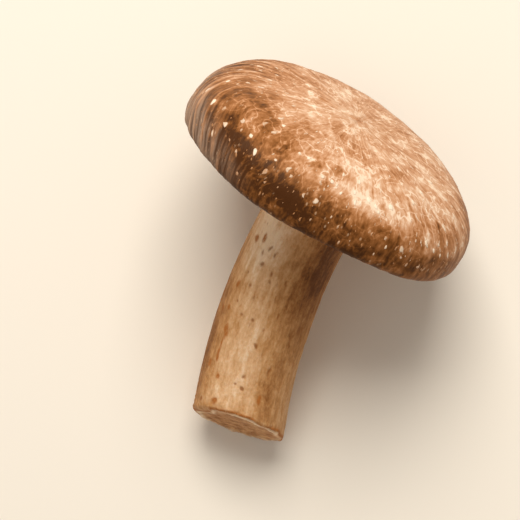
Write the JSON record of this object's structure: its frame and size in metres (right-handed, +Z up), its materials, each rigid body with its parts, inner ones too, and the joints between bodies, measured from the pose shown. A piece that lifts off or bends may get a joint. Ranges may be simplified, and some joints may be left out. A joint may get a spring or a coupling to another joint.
{
  "type": "shiitake mushroom",
  "caption": "Edible shiitake mushroom lying on its side: brown domed cap with a rolled margin, pale radial gills and a curved pale stem cut off at the foot.",
  "frame": {"origin": "middle of the bounding box's base, on the surface that the mushroom lies on", "axes": "+X from the cut foot of the stem towards the cap, +Y across, +Z up from the surface"},
  "size_m": [0.0734, 0.0616, 0.0563],
  "materials": {
    "cap_skin": "satin",
    "gill_flesh": "matte",
    "stem_flesh": "matte"
  },
  "bodies": {
    "root": {"cap": "cap_skin", "gills": "gill_flesh", "stem": "stem_flesh"}
  },
  "joints": []
}
